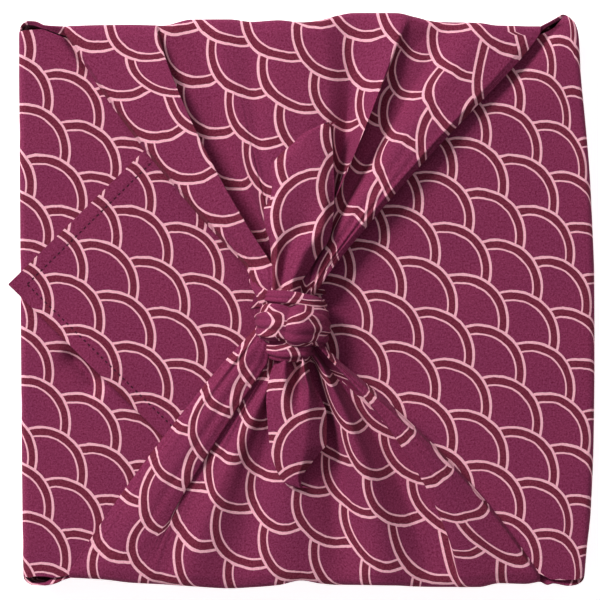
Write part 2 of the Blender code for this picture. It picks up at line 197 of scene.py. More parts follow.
def add_panel(name, points, flat):
    """Keep a grid of points and its flat coordinates, both in millimetres."""
    panels.append((name, np.asarray(points, float), np.asarray(flat, float)))
    rows, across = points.shape[:2]
    print(f"{name}: {rows} x {across} points")


# %% [markdown]
# ## Folded edges
# Every edge that shows on a wrap is a fold or a hem, where the cloth turns and runs back under
# itself. So an edge here is a half circle of a small radius and a width of cloth beneath, which
# gives the layers their real thickness without a second surface all over.

# %% Turn an edge under
def turn_under(points, flat, side, width, radius, down):
    """Add columns beyond one side edge of a grid: a half circle of the radius from the edge, then
    cloth that runs back by the width. The way out is level before it is made square to down, the
    direction in which the cloth turns."""
    first, inner = (0, 1) if side == "left" else (-1, -2)
    edge, edge_flat = points[:, first], flat[:, first]
    down = np.broadcast_to(np.asarray(down, float), edge.shape)
    out = edge - points[:, inner]
    out[:, 2] = 0
    out = unit(out - down * np.sum(out * down, axis=-1, keepdims=True))
    out_flat = unit(edge_flat - flat[:, inner])
    columns, flats = [], []
    for turn in np.radians([30, 60, 90, 120, 150, 180]):
        columns.append(edge + radius * (math.sin(turn) * out + (1 - math.cos(turn)) * down))
        flats.append(edge_flat + radius * turn * out_flat)
    for back in (0.5, 1):
        columns.append(edge + 2 * radius * down - back * width * out)
        flats.append(edge_flat + (radius * math.pi + back * width) * out_flat)
    extra, extra_flat = np.stack(columns, axis=1), np.stack(flats, axis=1)
    if side == "left":
        pairs = ((extra[:, ::-1], points), (extra_flat[:, ::-1], flat))
    else:
        pairs = ((points, extra), (flat, extra_flat))
    return tuple(np.concatenate(pair, axis=1) for pair in pairs)


# %% [markdown]
# ## The strips
# The far and near corners of the cloth come up over their walls and draw together at the knot.
# Cloth that has to become narrower stands up in ridges and pleats. A cloth simulation would fold
# it in places of its own choice, so the folds are laid one by one here. Each row of a table is one
# fold line with its place on the top edge of the wall, half way and at the knot, and its height
# at those places; `lean` and `pivot`, where it has them, say how the print is turned beside it.

# %% Fold lines of the strips
FOLD_COLUMNS = ("fold", "x_edge", "x_mid", "x_knot", "lift_edge", "lift_mid", "lift_knot",
                "lean", "pivot")
FAR_FOLDS = (
    ("left fold", -127, -78.6, -31, 0, 1.8, 7.5, 20, -100),
    ("left shoulder", -124.6, -76.9, -29.8, 1.6, 5.2, 10, 20, -100),
    ("left panel", -98, -61, -23.5, 2.4, 10, 14, 20, -100),
    ("left pleat", -79, -48.8, -16.6, 3.6, 12.8, 16, 20, -100),
    ("left tuck", -77, -52.6, -20, 0.4, 0.6, 1.6, 2, -30),
    ("left valley", -62, -38, -14.4, 0, 0, 0.6),
    ("middle rise", -45, -28, -12, 2.2, 7.6, 9),
    ("middle dip", -33, -23.5, -10.6, 2, 7.2, 9.8),
    ("middle ridge", -14, -10, -8.6, 3.2, 9.8, 12, 0, -5),
    ("middle fall", 7, 9, -6, 2.6, 7.6, 10),
    ("inner valley", 23, 18.5, -3.4, 0, 0, 1),
    ("inner ridge", 52, 24, -1, 4.4, 11, 8, -8, 25),
    ("inner tuck", 57, 21.8, -2, 2.6, 0.8, 6, -20, 80),
    ("outer valley", 71, 31, 3, 0, 0.2, 7.6),
    ("right panel", 95, 43.5, 8.6, 2.8, 8.4, 10, -24, 95),
    ("right shoulder", 124, 57, 12.6, 1, 8.8, 10, -24, 95),
    ("right fold", 131, 61.5, 15, 0, 5.8, 9, -24, 95),
)
NEAR_FOLDS = (
    ("left fold", -124.5, -75.8, -43, 0, 1.6, 6, 24, -95),
    ("left shoulder", -117, -71, -39.5, 0.4, 4, 9, 24, -95),
    ("left panel", -102, -58, -30, 1.4, 7.2, 12, 22, -90),
    ("left crest", -91, -46.5, -19.5, 1.4, 6.4, 10.5, 22, -90),
    ("left tuck", -82, -48.6, -21.5, 1.8, 4.2, 8, 8, -35),
    ("left valley", -76, -43, -18.4, 1.4, 4.4, 7.8),
    ("left ridge", -61, -33.5, -13.5, 3, 7.8, 8),
    ("inner valley", -38, -20.5, -10, 0.8, 2, 3),
    ("middle ridge", -8, -6, -3, 2.4, 6.8, 5.5, 0, 0),
    ("tail valley", 20, 13, 3.5, 0.2, 0.2, 2),
    ("inner pleat", 42, 25, 7.5, 3.6, 10.8, 10.5, -9, 30),
    ("deep valley", 66, 40, 11.5, 0.2, 0, 1),
    ("outer tuck", 79.6, 51.6, 16.6, 0.8, 1.4, 2, -14, 40),
    ("outer pleat", 83, 48.4, 14.4, 3.2, 11, 12, -26, 100),
    ("outer crown", 97, 54.5, 16, 3, 11.6, 13, -26, 100),
    ("right shoulder", 122.4, 63.9, 17.9, 1.7, 6.2, 10.6, -26, 100),
    ("right fold", 124.2, 65.2, 18.8, 0, 3.2, 8, -26, 100),
)
# Near the far edge the right folds bend in: how much, and how fast that fades.
FAR_BEND, BEND_REACH = 6.5, 13
FAR_Y = {"mid": 74, "knot": 20}
NEAR_Y = {"mid": -72, "knot": -31}
# Where a strip's left and right folds end inside the knot: x, y and height over STRIP_Z.
FAR_END = ((-22, -1, 7), (4, 4, 6))
NEAR_END = ((-22, -9, 6), (7, -19, 5))
THROAT_ROWS, THROAT_RISE, END_LIFT = 9, 3, 0.35
STRIP_Z = TOP_Z + 1.9
FOLD_STEPS = 12
UNDER_Z = TOP_Z + 1.4
WALL_ROWS, EDGE_ROWS, STRIP_ROWS = 9, 6, 68
# A power evens out high and low folds.
LIFT_TOP, LIFT_POWER = 17, 0.85
# Small uneven folds: waves across a strip, height in mm at the knot, phase, and turn with t.
RIPPLES = (
    (13, 0.40, 0.3, 1.5),
    (19, 0.34, 2.1, -2),
    (29, 0.26, 4, 2.5),
    (41, 0.16, 1, -1),
)
# Their share at the edge and its gain up to the knot; how wide they fade out at the side folds, in
# folds, and their pace in from the edge.
RIPPLE_EDGE, RIPPLE_GAIN, RIPPLE_MARGIN, RIPPLE_PACE = 0.15, 1.1, 0.8, 8
WALL_FOOT = 2.2
FOLD_RADIUS = 0.45
TURNED_IN = 34
# How far in from the edge the print has its full lean.
LEAN_REACH = 40
LEAN, PIVOT = FOLD_COLUMNS.index("lean"), FOLD_COLUMNS.index("pivot")
QUARTER = math.pi / 2


# %% Shape of a strip
def strip(folds, side, levels, ends):
    """Columns run along the fold lines, rows across. A row on the wall keeps its height; over the
    top edge a quarter circle leads from the wall to the top; on the top x and the lift are the
    parabolas through a fold's three places, and y goes evenly from the edge to the knot. From
    there straight lines draw the columns together between the two ends in the knot."""
    sign = 1 if side == "far_y" else -1
    last = float(len(folds) - 1)
    index = np.arange(len(folds), dtype=float)
    s = np.linspace(0, last, FOLD_STEPS * (len(folds) - 1) + 1)
    fold = {key: through(index, column(folds, FOLD_COLUMNS, key), s)
            for key in FOLD_COLUMNS[1:LEAN]}
    wall = wall_y(side, fold["x_edge"])
    top = STRIP_Z + fold["lift_edge"]
    bend = FAR_BEND * ease(s - last + 2) if sign > 0 else 0 * s

    up = np.linspace(0, 1, WALL_ROWS)[:, None]
    outer_x = np.where(s < last / 2, -folds[0][1], folds[-1][1])
    spread = 1 + (HALF_BOTTOM / outer_x - 1) * (np.abs(fold["x_edge"]) / HALF_BOTTOM) ** 2
    wall_x = fold["x_edge"] * (1 + (spread - 1) * (1 - up)) - bend * up
    wall_z = WALL_FOOT + up * (top - EDGE_ROUND - WALL_FOOT)
    on_wall = together(wall_x, sign * (np.abs(wall) - lean_in(up)), wall_z)

    turn = np.linspace(0, QUARTER, EDGE_ROWS + 1)[1:, None]
    on_edge = together(fold["x_edge"] - bend, wall - sign * EDGE_ROUND * (1 - np.cos(turn)),
                       top - EDGE_ROUND * (1 - np.sin(turn)))

    y_start = wall - sign * EDGE_ROUND
    t_mid = (abs(levels["mid"]) - np.abs(y_start)) / (abs(levels["knot"]) - np.abs(y_start))
    t = np.linspace(0, 1, STRIP_ROWS + 1)[1:, None]
    x = bend_of_three(t, t_mid, fold["x_edge"], fold["x_mid"], fold["x_knot"])
    x = x - bend * np.exp(-t * np.abs(levels["knot"] - y_start) / BEND_REACH)
    lift = bend_of_three(t, t_mid, fold["lift_edge"], fold["lift_mid"], fold["lift_knot"])
    y = y_start + (levels["knot"] - y_start) * t
    lift = LIFT_TOP * (np.maximum(lift, 0) / LIFT_TOP) ** LIFT_POWER
    inside = ease(np.minimum(s, last - s) / RIPPLE_MARGIN)
    for waves, height, phase, twist in RIPPLES:
        wave = np.sin(2 * math.pi * waves * s / last + phase + twist * t)
        grown = height * (RIPPLE_EDGE + RIPPLE_GAIN * t * t)
        lift = lift + grown * wave * inside * ease(t * RIPPLE_PACE)
    on_top = together(x, y, STRIP_Z + np.maximum(lift, 0))

    share = (s / last)[:, None]
    end = np.array(ends[0]) * (1 - share) + np.array(ends[1]) * share
    end[:, 2] += STRIP_Z + END_LIFT * fold["lift_knot"]
    go = np.linspace(0, 1, THROAT_ROWS + 1)[1:, None, None]
    in_knot = on_top[-1] * (1 - go) + end * go
    in_knot[..., 2] += THROAT_RISE * np.sin(math.pi * go[..., 0])
    on_top = np.concatenate([on_top, in_knot])

    flat_wall = together(wall_x, sign * (HALF_BOTTOM + wall_z))
    flat_edge = together(fold["x_edge"],
                         sign * (HALF_BOTTOM + top - EDGE_ROUND + EDGE_ROUND * turn))
    reach = HALF_BOTTOM + top + EDGE_ROUND * (QUARTER - 1)
    inward = np.abs(y_start) - sign * on_top[..., 1]
    flat_top = leaning_print(folds, on_top, inward)
    flat_top[..., 1] = sign * (reach + flat_top[..., 1])
    return (np.concatenate([on_wall, on_edge, on_top]),
            np.concatenate([flat_wall, flat_edge, flat_top]))


# %% Print on a strip
def leaning_print(folds, on_top, inward):
    """The flat coordinates of a strip's top. At the folds that have a lean the print is turned by
    it about their pivot, and between them it is shared out by the length across the folds."""
    x = on_top[..., 0]
    steps = np.diff(on_top[..., [0, 2]], axis=1)
    across = np.cumsum(np.hypot(steps[..., 0], steps[..., 1]) + 1e-6, axis=1)
    across = np.concatenate([0 * x[:, :1], across], axis=1)
    held = [i for i, row in enumerate(folds) if len(row) > LEAN]
    at = np.array(held) * FOLD_STEPS
    lean = np.radians([folds[i][LEAN] for i in held]) * ease(inward[:, at] / LEAN_REACH)
    pivot = np.array([folds[i][PIVOT] for i in held], float)
    u = pivot + (x[:, at] - pivot) * np.cos(lean) - inward[:, at] * np.sin(lean)
    v = (x[:, at] - pivot) * np.sin(lean) + inward[:, at] * np.cos(lean)
    return np.array([together(np.interp(line, line[at], us), np.interp(line, line[at], vs))
                     for line, us, vs in zip(across, u, v)])


def turned_down(sign):
    """Which way a strip's side folds turn: into the parcel on the wall, down on the top, and
    evenly from one to the other over the edge."""
    turn = np.concatenate([np.zeros(WALL_ROWS), np.linspace(0, QUARTER, EDGE_ROWS + 1)[1:],
                           np.full(STRIP_ROWS + THROAT_ROWS, QUARTER)])
    return together(0 * turn, -sign * np.cos(turn), -np.sin(turn))


# %% Make both strips
strips = {}
for name, folds, side, levels, ends in (
    ("far strip", FAR_FOLDS, "far_y", FAR_Y, FAR_END),
    ("near strip", NEAR_FOLDS, "near_y", NEAR_Y, NEAR_END),
):
    points, flat = strip(folds, side, levels, ends)
    strips[name] = points
    down = turned_down(1 if side == "far_y" else -1)
    for edge in ("left", "right"):
        points, flat = turn_under(points, flat, edge, TURNED_IN, FOLD_RADIUS, down)
    on_top = slice(WALL_ROWS + EDGE_ROWS, None)
    for hidden in ([0, 1], [-1, -2]):
        points[on_top, hidden, 2] = np.minimum(points[on_top, hidden, 2], UNDER_Z)
    add_panel(name, points, flat)

# %% [markdown]
# ## The base
# Under the parcel the cloth lies flat. A plane could stand for it, but its border has to meet the
# feet of both strips, so its columns are some of theirs, carried on from foot to foot.

# %% Shape of the base
BASE_ROWS, BASE_COLUMN_STEP = 24, 5


def base():
    """Rows blend from the foot of the far wall to the foot of the near wall; the first and last
    few bend down to the table on a quarter circle."""
    turn = np.linspace(0, QUARTER, 5)[:, None]
    bends = []
    for name, inwards in (("far strip", -1), ("near strip", 1)):
        x, y, _ = strips[name][0][::BASE_COLUMN_STEP].T
        bends.append(together(x, y + inwards * WALL_FOOT * (1 - np.cos(turn)),
                              WALL_FOOT * (1 - np.sin(turn))))
    far_rows, near_rows = bends
    share = np.linspace(0, 1, BASE_ROWS)[1:-1, None, None]
    middle = far_rows[-1] * (1 - share) + near_rows[-1] * share
    points = np.concatenate([far_rows, middle, near_rows[::-1]])
    return points, points[..., :2].copy()


add_panel("base", *base())

# %% [markdown]
# ## The flaps and their walls
# The left flap goes over the parcel first and the right one over it, and the right one's tip pokes
# out past the left edge. Each flap's side edges are short curves given by a few points: near a
# corner the flap dips into the pocket that the folded ear makes there. A grid between two such
# borders needs no cutting out, and it bends over the wall in one piece.

# %% Borders of the flaps
BORDER_COLUMNS = ("x", "y")
LEFT_FLAP_FAR = ((-151, 144.2), (-149, 145), (-145.5, 145.3), (-140, 145.6),
                 (-133, 143.3), (-126.4, 141), (-116, 138), (150, 138))
LEFT_FLAP_NEAR = ((-151, -144), (-148.9, -144.9), (-145.8, -144.9), (-143.1, -144.3),
                  (-137.8, -144.4), (-134.1, -145), (-129.9, -144.7), (-124, -143.4),
                  (-112, -138), (150, -138))
RIGHT_FLAP_FAR = ((-20, 138), (110, 138), (118, 139), (124.5, 142.7), (131.3, 146),
                  (135.6, 150.6), (137.9, 153.5), (139.5, 152.8), (141.5, 150.9), (143.2, 147.4),
                  (145, 144))
RIGHT_FLAP_NEAR = ((-20, -140), (116, -140), (125, -143.2), (131, -146),
                   (137, -146.2), (143.6, -146.1), (147, -144))
FLAP_TIP = (-157.3, 10.4)
HEM_SLOPE = 1.02
LEFT_HEM_X, LEFT_FLAP_END = 157, 140
LEFT_FLAP_Z = TOP_Z
RIGHT_FLAP_Z = TOP_Z + 0.95
FLAP_ACROSS = 106
HEM_WIDTH, HEM_RAISED, HEM_ROUND = 7.4, 0.30, 0.22
# The width over which the double cloth ends, and the dip of the seam.
HEM_STEP, STITCH_DIP, SEAM_IN, SEAM_WIDTH = 0.9, 0.22, 0.6, 0.7
# How high the near hem is lifted, how fast that fades inwards, and the crest along it.
NEAR_RISE, RISE_REACH = 1.9, 9
CREST_X, CREST_WIDTH, CREST_GAIN = -108, 15, 1.3
# The hem is turned under from just past the tip to where the strips hide it.
HEM_FROM_TIP, HEM_HIDDEN_X = 12, 60
# Troughs: x and y where one starts and ends, its depth and its reach.
RIGHT_TROUGHS = (
    (129.9, 61.5, 45.1, -27, 0.60, 1.2),
    (129.9, 61.5, 45.1, -27, 0.25, 8),
    (137, 149, 100, 113, 3.4, 5),
)
LEFT_TROUGHS = (
    (-126, -26.5, -109, -44, 6.5, 4.5),
    (-127, 141.5, -112, 121, 5, 1.5),
)
CORNER_Y = 144
EAR_DROOP = 0.09
FLAT_HALF = 145.5
FOOT_ROWS, SIDE_ROWS, ROUND_ROWS = 4, 14, 6
# How fast a row on the top loses its wall's bulge, and how much shorter than a square corner the
# foot's arc is, as a share of its radius.
BULGE_REACH, FOOT_SHORT = 9, 0.4


# %% Shape of a flap
def crowded_ends(count, power=1.7):
    """Numbers from -1 to 1 that stand closer together towards both ends."""
    t = np.linspace(-1, 1, count)
    return np.sign(t) * (1 - (1 - np.abs(t)) ** power)


def flap(x_rows, low_y, high_y, side, z_top, across):
    """From the foot of a side wall up and across the top. A row on the wall keeps its height, a
    row on the top keeps its x, and t runs from one border to the other. A corner that sticks out
    beyond the parcel droops with the square of how far it sticks out."""
    t = across[None, :]
    y_wall = CORNER_Y * t
    x_wall = side_x(side, y_wall)
    sign = np.sign(x_wall[0, 0])
    up = np.linspace(0, 1, SIDE_ROWS)[:, None]
    x = x_wall - sign * lean_in(up)
    on_wall = together(x, y_wall, WALL_FOOT + up * (z_top - EDGE_ROUND - WALL_FOOT))
    under = np.linspace(QUARTER, 0, FOOT_ROWS + 1)[:-1, None]
    foot = together(x[:1] - sign * WALL_FOOT * (1 - np.cos(under)), y_wall,
                    WALL_FOOT * (1 - np.sin(under)))
    turn = np.linspace(0, QUARTER, ROUND_ROWS + 1)[1:, None]
    start = x_wall - sign * EDGE_ROUND - x_rows[0]
    into = np.abs(x_rows - x_rows[0])[:, None]
    x = x_rows[:, None] + start * np.exp(-into / BULGE_REACH)
    low, high = low_y(x[:, :1]), high_y(x[:, -1:])
    y = low + (high - low) * (t + 1) / 2
    droop = EAR_DROOP * np.maximum(np.abs(y) - FLAT_HALF, 0) ** 2
    on_edge = together(x_wall - sign * EDGE_ROUND * (1 - np.cos(turn)),
                       y_wall + (y[0] - y_wall) * ease(turn / QUARTER),
                       z_top - EDGE_ROUND * (1 - np.sin(turn)) - droop[0] * np.sin(turn))
    points = np.concatenate([foot, on_wall, on_edge, together(x, y, z_top - droop)[1:]])
    middle = points[:, points.shape[1] // 2, None]
    u = lengths_along(middle) + HALF_BOTTOM - WALL_FOOT * FOOT_SHORT
    return points, together(sign * u, points[..., 1])


# %% Relief of the flaps
def soft_waves(points):
    """The cloth of a flap never lies quite flat: two crossing waves, each under half a mm."""
    x, y = points[..., 0], points[..., 1]
    return (0.20 * np.sin(x / 17 + 1.3 * np.sin(y / 29)) * np.sin(y / 23 + 0.7)
            + 0.10 * np.sin((x + 2 * y) / 13))


def troughs(points, table):
    """Shallow valleys along straight lines in plan: each falls away from its line with the
    exponential of the distance over its reach and fades out within a quarter of its length
    beyond both ends. The first two of the right flap are one old pressed fold."""
    total = 0 * points[..., 0]
    for x_from, y_from, x_to, y_to, depth, reach in table:
        length = math.hypot(x_to - x_from, y_to - y_from)
        ahead = ((x_to - x_from) / length, (y_to - y_from) / length)
        x, y = points[..., 0] - x_from, points[..., 1] - y_from
        along, off = x * ahead[0] + y * ahead[1], np.abs(y * ahead[0] - x * ahead[1])
        beyond = np.abs(along / length - 0.5) - 0.5
        total -= depth * np.exp(-off / reach) * ease(0.5 - beyond / 0.5)
    return total


def hem_relief(points):
    """Within the hem's width the cloth lies double, and its seam is pulled in by the stitches. The
    near hem also stands up a little, as cloth does whose fold lifts it."""
    square = math.cos(math.atan(1 / HEM_SLOPE))
    relief = 0 * points[..., 0]
    for direction, rise in ((1, 0), (-1, NEAR_RISE)):
        line = hem_line(direction)(points[..., 0])
        off = np.maximum(direction * (line - points[..., 1]), 0) * square
        relief += HEM_RAISED * ease((HEM_WIDTH - off) / HEM_STEP + 0.5)
        relief -= STITCH_DIP * np.exp(-((off - HEM_WIDTH + SEAM_IN) / SEAM_WIDTH) ** 2)
        crest = 1 + CREST_GAIN * np.exp(-((points[..., 0] - CREST_X) / CREST_WIDTH) ** 2)
        relief += rise * crest * np.exp(-off / RISE_REACH)
    return relief + soft_waves(points) + troughs(points, RIGHT_TROUGHS)


# %% Borders and rows of a flap
def hem_line(direction):
    """The right flap's hem in plan: straight from its tip at about 45 degrees."""
    tip_x, tip_y = FLAP_TIP
    return lambda x: tip_y + direction * np.maximum(x - tip_x, 0) / HEM_SLOPE


def border(table):
    """The curve through a table of border points."""
    xs, ys = column(table, BORDER_COLUMNS, "x"), column(table, BORDER_COLUMNS, "y")
    return lambda x: through(xs, ys, x)


def lesser(one, other):
    """The border nearer to the middle of two."""
    return lambda x: np.where(np.abs(one(x)) < np.abs(other(x)), one(x), other(x))


def rows_between(*stops):
    """Rows from a start through pairs of a step and the next stop."""
    start, rows = stops[0], [np.array([stops[0]], float)]
    for step, stop in zip(stops[1::2], stops[2::2]):
        count = max(1, int(round(abs(stop - start) / step)))
        rows.append(np.linspace(start, stop, count + 1)[1:])
        start = stop
    return np.concatenate(rows)


def add_relief(points, z_top, relief):
    """Raise a flap's top by a relief, which fades out within a mm down its rounded edge."""
    points[..., 2] += ease(points[..., 2] - z_top + 1) * relief


# %% Make the flaps
# The left flap's points stand closer where it is dented.
left_rows = rows_between(-147.4, 0.8, -122, 1.2, -106, 4, -60, 16, LEFT_FLAP_END)
left_across = np.sort(np.concatenate([crowded_ends(92), np.linspace(-0.34, -0.16, 22)]))
points, flat = flap(left_rows, lesser(lambda x: x - LEFT_HEM_X, border(LEFT_FLAP_NEAR)),
                    lesser(lambda x: LEFT_HEM_X - x, border(LEFT_FLAP_FAR)),
                    "left_x", LEFT_FLAP_Z, left_across)
left_waves = soft_waves(points[..., [1, 0, 2]]) * 0.7
add_relief(points, LEFT_FLAP_Z, left_waves + troughs(points, LEFT_TROUGHS))
add_panel("left flap", points, flat)

right_rows = rows_between(147, 0.9, 120, 3, -20, 2.6, -154, 0.8, -157)
points, flat = flap(right_rows, lesser(hem_line(-1), border(RIGHT_FLAP_NEAR)),
                    lesser(hem_line(1), border(RIGHT_FLAP_FAR)),
                    "right_x", RIGHT_FLAP_Z, crowded_ends(FLAP_ACROSS))
add_relief(points, RIGHT_FLAP_Z, hem_relief(points))
add_panel("right flap", points, flat)
hem_corner_u = float(flat[-1, 0, 0])

# %% Turn the hem under
middle_x, _, middle_z = points[:, FLAP_ACROSS // 2].T
hem_rows = (middle_x < HEM_HIDDEN_X) & (middle_x > FLAP_TIP[0] + HEM_FROM_TIP)
hem_rows &= middle_z > RIGHT_FLAP_Z - 1
for side, ends, own, outer in (("left", slice(0, 2), slice(0, -1), -1),
                               ("right", slice(-2, None), slice(1, None), 0)):
    edge, edge_flat = turn_under(points[hem_rows][:, ends], flat[hem_rows][:, ends], side,
                                 HEM_WIDTH, HEM_ROUND, (0, 0, -1))
    edge, edge_flat = edge[:, own].copy(), edge_flat[:, own].copy()
    edge[..., 2] += hem_relief(edge) - hem_relief(edge[:, outer])[:, None]
    add_panel(f"{side} hem", edge, edge_flat)

# %% [markdown]
# ## The ears
# Where a side wall's cloth turns the corner it goes on behind a strip. Its upper edge is a fold
# that stands a little open, so a dark pocket shows between it and the flap. A rounded box would
# be closed there, so an ear is a wall of its own along a path in plan, with the height of its rim
# and the width of the shelf that the fold makes.

# %% Ears at the four corners
EAR_COLUMNS = ("x", "y", "rim_z", "shelf")
FAR_LEFT_EAR = (
    (-151.9, 144, 37, 0.2), (-151, 147, 37.6, 0.3), (-149.4, 149, 38, 0.8),
    (-146.8, 150.2, 38.2, 1.3), (-143.1, 150, 38.6, 1.6), (-137.8, 147.9, 39.4, 1.4),
    (-133, 147.5, 39.8, 2.6), (-127.2, 147.2, 39.8, 4.2), (-116, 146.4, 38.6, 5.6),
    (-98, 144.9, 37, 5),
)
NEAR_LEFT_EAR = (
    (-149.5, -144, 36.4, 0.2), (-149.3, -145.4, 36.6, 0.3), (-148.2, -147, 37.4, 0.4),
    (-146.4, -148.4, 38.2, 0.4), (-144.2, -149.2, 38.6, 0.4), (-138.3, -149.3, 39.2, 0.7),
    (-134, -148.7, 39.4, 2.2), (-130.9, -147.7, 39.4, 3), (-128, -146.3, 39, 1.8),
    (-122, -145, 38.4, 2.4), (-98, -144.2, 37, 4),
)
FAR_RIGHT_EAR = (
    (145.2, 144, 33, 0.4), (144.2, 146.6, 33.4, 0.5), (142, 150.2, 34.2, 0.8),
    (139.8, 152.6, 35, 1.2), (137, 153.7, 36.4, 1), (132.6, 151.4, 37.8, 0.9),
    (128, 148.9, 38.6, 1), (122, 146.4, 38.2, 2.4), (98, 145, 37, 4),
)
NEAR_RIGHT_EAR = (
    (148.5, -144, 36.6, 0.5), (147.9, -145.8, 37.4, 1), (146.4, -147.6, 38.2, 1.4),
    (143.6, -149, 38.8, 2), (139.4, -149.5, 39.2, 2.4), (134.8, -148.7, 39.4, 2.2),
    (131.6, -148.2, 39.4, 1.6), (128.6, -149, 39.2, 2.6), (124.6, -147.4, 38.6, 3),
    (98, -144.8, 37, 4),
)
EAR_COUNT, EAR_WALL_ROWS = 64, 11
# The rolls at the rim and inside the shelf, how deep the cloth goes down inside, and how far in
# and how high it ends under the foot.
EAR_ROLL, EAR_LIP, EAR_FOLDED_IN = 0.45, 0.4, 9
EAR_UNDER, EAR_UNDER_Z = 7, 0.3
SHELF_FALL = 0.7


# %% Shape of an ear
def ear(table):
    """Rows go up the wall, round the rolled rim, in over the shelf and down inside. In goes square
    to the path, towards the parcel's middle; the foot stands a little inside the rim."""
    corner = together(column(table, EAR_COLUMNS, "x"), column(table, EAR_COLUMNS, "y"))
    corner[0, 0] = side_x("left_x" if corner[0, 0] < 0 else "right_x", corner[0, 1])
    along = lengths_along(corner)
    s = np.linspace(0, along[-1], EAR_COUNT)
    place = curves(table, EAR_COLUMNS, s, along)
    path = together(*(through(along, row, s) for row in corner.T))
    ahead = unit(np.gradient(path, axis=0))
    into = together(-ahead[:, 1], ahead[:, 0])
    into *= -np.sign(np.sum(into * path, axis=1, keepdims=True))
    rows = [(FOOT_IN + WALL_FOOT + EAR_UNDER, EAR_UNDER_Z)]
    for turn in np.linspace(QUARTER, 0, FOOT_ROWS + 1)[:-1]:
        rows.append((FOOT_IN + WALL_FOOT * (1 - math.cos(turn)),
                     WALL_FOOT * (1 - math.sin(turn))))
    rim, shelf = place["rim_z"] - EAR_ROLL, place["shelf"]
    for up in np.linspace(0, 1, EAR_WALL_ROWS):
        rows.append((lean_in(up), WALL_FOOT + up * (rim - WALL_FOOT)))
    for turn in np.linspace(0, QUARTER, 5)[1:]:
        rows.append((EAR_ROLL * (1 - math.cos(turn)), rim + EAR_ROLL * math.sin(turn)))
    for share in (0.35, 0.7, 1):
        rows.append((EAR_ROLL + share * shelf, rim + EAR_ROLL - SHELF_FALL * share * shelf))
    last = rows[-1][1]
    for turn in np.linspace(0, QUARTER, 4)[1:]:
        rows.append((EAR_ROLL + shelf + EAR_LIP * math.sin(turn),
                     last - EAR_LIP * (1 - math.cos(turn))))
    rows.append((rows[-1][0], rows[-1][1] - EAR_FOLDED_IN))
    points = np.stack([together(*(path.T + into.T * inward), z) for inward, z in rows])
    side, face = np.sign(path[0])
    height = HALF_BOTTOM + lengths_along(points)
    return points, together(side * height, face * (CORNER_Y + s)[None, :])


for name, table in (("far left ear", FAR_LEFT_EAR), ("near left ear", NEAR_LEFT_EAR),
                    ("far right ear", FAR_RIGHT_EAR), ("near right ear", NEAR_RIGHT_EAR)):
    add_panel(name, *ear(table))

# %% [markdown]
# ## The tails
# The two free ends are corners of the cloth. Each lies as a leaf: wide where it leaves the knot
# and pointed at its tip, with one or two long folds. A section across it is a curve through five
# places: an edge, a ridge, a valley, a brow and the other edge. A few such sections are easier to
# set and to change than a sculpted mesh, and the curves between them leave no corners.

# %% Sections of the tails
TAIL_COLUMNS = ("y", "x_left", "z_left", "x_ridge", "z_ridge", "x_valley", "z_valley", "x_brow",
                "z_brow", "x_right", "z_right")
FAR_TAIL = (
    (0.5, -20.5, 54, -16.5, 58.5, -12, 57.5, -7, 59, -2.6, 54.5),
    (10, -19.6, 55, -16, 60.5, -12, 58, -7, 61.5, -2.6, 55),
    (18, -18.5, 56, -15.5, 61.5, -11, 57.5, -4.5, 63, 2.1, 56.5),
    (26, -17.5, 56.5, -15, 61.5, -9.5, 56.6, -1.5, 63, 6.9, 56),
    (34, -18.5, 56.8, -15, 61, -6, 56.6, 4, 62, 12.2, 55.5),
    (41, -20.8, 56.6, -15.5, 60.2, -1.5, 57.2, 8.5, 60.6, 13.9, 55),
    (49.5, -21.5, 56, -15, 59.4, -1, 58.2, 9.5, 59.4, 14.7, 54.4),
    (55.1, -18, 55.6, -13, 59, -1, 58.4, 9.5, 58.8, 15, 54.6),
    (62.5, -17, 55.6, -11.5, 58.4, -1, 58.8, 9, 58.4, 15.2, 54.8),
    (70.5, -18, 54.8, -10.5, 57.6, 0, 58, 8.5, 57.6, 14.8, 54.6),
    (77.9, -13.8, 54.5, -7, 56.6, 1, 57, 8.5, 56.4, 14.5, 54),
    (84.8, -5.8, 54, -1, 55.6, 4.5, 55.8, 9.5, 55.2, 14, 53.6),
    (90.1, -0.5, 53.8, 3, 54.8, 7, 54.8, 10.5, 54.4, 13.6, 53.4),
    (93.5, 6.5, 53.6, 8.5, 54, 10, 54, 11.5, 53.8, 13, 53.2),
    (95.9, 11.9, 53.2, 12, 53.3, 12.1, 53.3, 12.2, 53.2, 12.3, 53.1),
)
NEAR_TAIL = (
    (-26, -14.5, 50, -10.4, 59, -5, 51, -1.2, 59.5, 0.6, 50),
    (-30.7, -15.9, 51, -10.6, 60, -4.8, 50.5, -1, 60, 1.1, 51),
    (-37.6, -18, 52, -11.1, 60.6, -4.2, 51, 0, 60.8, 2.6, 51.6),
    (-44.5, -19.6, 52.6, -11.1, 60.4, -3.2, 53, 1.6, 60.6, 5.3, 52),
    (-50.9, -20.1, 53, -10.6, 60, -3.7, 56.4, 1.6, 60.4, 8.5, 52.4),
    (-58.8, -19.6, 53, -9.5, 58.4, -4, 59, 0.8, 59.6, 11.1, 52.6),
    (-68.9, -18.8, 52.8, -9.5, 57, -4, 58, 0.5, 58.6, 11.1, 52.4),
    (-73.7, -18.3, 52.6, -9.5, 56.2, -4.5, 57.2, 0, 57.8, 11.1, 52.2),
    (-79, -17.5, 52.4, -9.5, 55.4, -5, 56.4, -1, 56.8, 6.9, 52.2),
    (-85.3, -15.6, 52.4, -9.5, 54.4, -6, 55.2, -2.2, 55.4, 2.1, 52.2),
    (-91.2, -12.7, 52.2, -9, 53.4, -6.5, 53.8, -4, 54, -2.1, 52),
    (-94.9, -9.5, 52, -7.5, 52.6, -5.5, 52.8, -3.5, 52.8, -2.4, 52),
    (-97, -3, 51.9, -2.9, 52, -2.8, 52, -2.7, 52, -2.6, 51.9),
)
